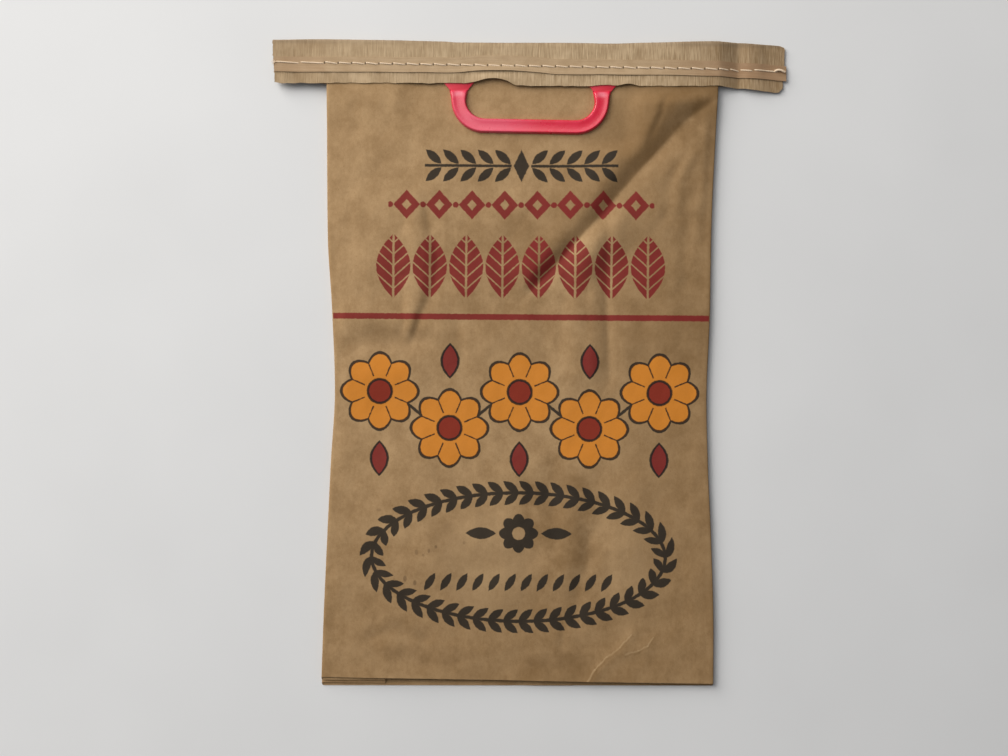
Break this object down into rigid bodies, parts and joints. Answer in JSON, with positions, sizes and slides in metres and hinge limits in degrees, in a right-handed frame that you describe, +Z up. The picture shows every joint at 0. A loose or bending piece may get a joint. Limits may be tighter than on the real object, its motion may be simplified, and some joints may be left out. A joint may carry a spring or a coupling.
{
  "type": "flat paper potato sack with sewn handle",
  "caption": "Flat empty gusseted kraft paper sack, open at its mouth and sewn shut at the other end under a crepe tape with a pull strip and a red moulded carrying handle.",
  "frame": {"origin": "on the floor under the middle of the sack's bounding box", "axes": "+Y along the sack towards its sewn end and handle, +Z up out of its printed front, +X to the right seen from the front"},
  "size_m": [0.368, 0.463, 0.0091],
  "materials": {
    "kraft_paper": "matt brown kraft paper with a red, orange and black print on its front",
    "crepe_paper": "pale tan crepe paper with fine ribs across the tape",
    "strip_paper": "pale tan smooth paper with faint lines along the strip",
    "red_plastic": "soft gloss moulded red plastic"
  },
  "bodies": {
    "root": {"paper_tube": "kraft_paper", "closing_tape": "crepe_paper", "pull_strip": "strip_paper", "handle": "red_plastic"}
  },
  "joints": []
}
